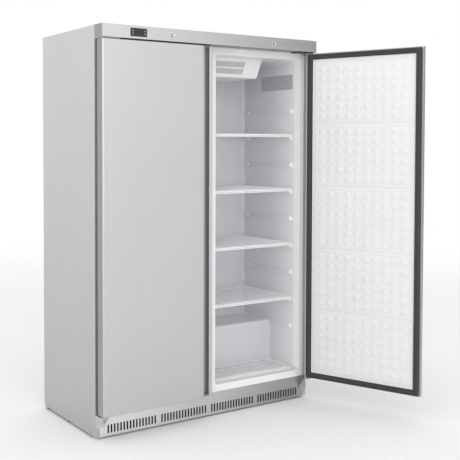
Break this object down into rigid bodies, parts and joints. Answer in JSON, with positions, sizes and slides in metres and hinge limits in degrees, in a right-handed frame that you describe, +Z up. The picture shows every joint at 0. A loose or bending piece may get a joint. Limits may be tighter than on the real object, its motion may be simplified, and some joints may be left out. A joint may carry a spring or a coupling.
{
  "type": "upright freezer",
  "caption": "Upright free-standing freezer in satin steel: double doors with recessed grips, white lined compartments, wire shelves, air coolers, control fascia and a machine bay.",
  "frame": {"origin": "on the floor, under the middle of the space that the freezer takes up with its right door open", "axes": "+X to the freezer's right as one faces its doors, +Y from the doors to the back, +Z up"},
  "size_m": [1.4514, 1.1631, 1.85],
  "materials": {
    "satin_steel": "satin",
    "zinc_sheet": "satin",
    "plated_steel": "polished",
    "white_moulding": "gloss",
    "white_wire": "satin",
    "grey_seal": "matte",
    "dark_grip": "matte",
    "insulation": "matte",
    "black_moulding": "matte",
    "dark_window": "gloss",
    "grey_key": "matte",
    "pale_nylon": "matte",
    "black_enamel": "satin",
    "black_rubber": "matte",
    "fin_metal": "satin",
    "copper_pipe": "satin"
  },
  "bodies": {
    "cabinet": {"left_side_panel": "satin_steel", "right_side_panel": "satin_steel", "top_panel": "satin_steel", "fascia_panel": "satin_steel", "front_frame": "satin_steel", "base_grille": "satin_steel", "back_panel": "zinc_sheet", "base_plate": "zinc_sheet", "floor_pan": "zinc_sheet", "service_grille": "zinc_sheet", "roller_brackets": "zinc_sheet", "hinge_brackets": "plated_steel", "hinge_pins": "plated_steel", "cabinet_screws": "plated_steel", "lock_barrels": "plated_steel", "left_liner": "white_moulding", "right_liner": "white_moulding", "evaporator_covers": "white_moulding", "door_sensors": "white_moulding", "left_shelves": "white_wire", "cabinet_foam": "insulation", "controller_housing": "black_moulding", "terminal_box": "black_moulding", "fan_motors": "black_moulding", "controller_window": "dark_window", "levelling_feet": "pale_nylon", "drain_tray": "pale_nylon", "compressor": "black_enamel", "compressor_grommets": "black_rubber", "condenser": "fin_metal", "evaporators": "fin_metal", "refrigerant_lines": "copper_pipe"},
    "left_door": {"left_door_skin": "satin_steel", "left_door_panel": "white_moulding", "left_door_gasket": "grey_seal", "left_door_foam": "insulation", "left_door_handle": "dark_grip", "left_door_bushes": "pale_nylon"},
    "right_door": {"right_door_skin": "satin_steel", "right_door_panel": "white_moulding", "right_door_gasket": "grey_seal", "right_door_foam": "insulation", "right_door_handle": "dark_grip", "right_door_bushes": "pale_nylon"},
    "left_lock_plug": {"left_lock_plug": "plated_steel"},
    "right_lock_plug": {"right_lock_plug": "plated_steel"},
    "controller_button_1": {"controller_button_1": "grey_key"},
    "controller_button_2": {"controller_button_2": "grey_key"},
    "controller_button_3": {"controller_button_3": "grey_key"},
    "controller_button_4": {"controller_button_4": "grey_key"},
    "left_roller": {"left_roller": "black_moulding"},
    "right_roller": {"right_roller": "black_moulding"},
    "condenser_fan": {"condenser_fan": "black_moulding"},
    "left_evaporator_fan": {"left_evaporator_fan": "black_moulding"},
    "right_evaporator_fan": {"right_evaporator_fan": "black_moulding"},
    "right_shelf_1": {"right_shelf_1": "white_wire"},
    "right_shelf_2": {"right_shelf_2": "white_wire"},
    "right_shelf_3": {"right_shelf_3": "white_wire"},
    "right_shelf_4": {"right_shelf_4": "white_wire"},
    "right_shelf_5": {"right_shelf_5": "white_wire"}
  },
  "joints": [
    {"name": "left_door_hinge", "type": "hinge", "parent": "cabinet", "child": "left_door", "pos_m": [-0.711, -0.017, 0.952], "axis": [0, 0, -1], "range_deg": [0, 120]},
    {"name": "right_door_hinge", "type": "hinge", "parent": "cabinet", "child": "right_door", "pos_m": [0.499, -0.017, 0.952], "axis": [0, 0, 1], "range_deg": [-112, 8]},
    {"name": "left_lock_turn", "type": "hinge", "parent": "cabinet", "child": "left_lock_plug", "pos_m": [-0.362, -0.035, 1.8205], "axis": [0, 1, 0], "range_deg": [0, 90]},
    {"name": "right_lock_turn", "type": "hinge", "parent": "cabinet", "child": "right_lock_plug", "pos_m": [0.232, -0.035, 1.8205], "axis": [0, 1, 0], "range_deg": [0, 90]},
    {"name": "controller_button_1_press", "type": "slide", "parent": "cabinet", "child": "controller_button_1", "axis": [0, 1, 0], "range_m": [0, 0.0008], "stiffness_N_per_m": 600},
    {"name": "controller_button_2_press", "type": "slide", "parent": "cabinet", "child": "controller_button_2", "axis": [0, 1, 0], "range_m": [0, 0.0008], "stiffness_N_per_m": 600},
    {"name": "controller_button_3_press", "type": "slide", "parent": "cabinet", "child": "controller_button_3", "axis": [0, 1, 0], "range_m": [0, 0.0008], "stiffness_N_per_m": 600},
    {"name": "controller_button_4_press", "type": "slide", "parent": "cabinet", "child": "controller_button_4", "axis": [0, 1, 0], "range_m": [0, 0.0008], "stiffness_N_per_m": 600},
    {"name": "left_roller_spin", "type": "hinge", "parent": "cabinet", "child": "left_roller", "pos_m": [-0.711, 0.551, 0.017], "axis": [1, 0, 0], "continuous": true},
    {"name": "right_roller_spin", "type": "hinge", "parent": "cabinet", "child": "right_roller", "pos_m": [0.499, 0.551, 0.017], "axis": [1, 0, 0], "continuous": true},
    {"name": "left_evaporator_fan_spin", "type": "hinge", "parent": "cabinet", "child": "left_evaporator_fan", "pos_m": [-0.288, 0.195, 1.711], "axis": [0, 1, 0], "continuous": true},
    {"name": "right_evaporator_fan_spin", "type": "hinge", "parent": "cabinet", "child": "right_evaporator_fan", "pos_m": [0.076, 0.195, 1.711], "axis": [0, 1, 0], "continuous": true},
    {"name": "condenser_fan_spin", "type": "hinge", "parent": "cabinet", "child": "condenser_fan", "pos_m": [-0.532, 0.4725, 0.122], "axis": [1, 0, 0], "continuous": true},
    {"name": "right_shelf_1_slide", "type": "slide", "parent": "cabinet", "child": "right_shelf_1", "axis": [0, -1, 0], "range_m": [0, 0.3]},
    {"name": "right_shelf_2_slide", "type": "slide", "parent": "cabinet", "child": "right_shelf_2", "axis": [0, -1, 0], "range_m": [0, 0.3]},
    {"name": "right_shelf_3_slide", "type": "slide", "parent": "cabinet", "child": "right_shelf_3", "axis": [0, -1, 0], "range_m": [0, 0.3]},
    {"name": "right_shelf_4_slide", "type": "slide", "parent": "cabinet", "child": "right_shelf_4", "axis": [0, -1, 0], "range_m": [0, 0.3]},
    {"name": "right_shelf_5_slide", "type": "slide", "parent": "cabinet", "child": "right_shelf_5", "axis": [0, -1, 0], "range_m": [0, 0.3]}
  ]
}
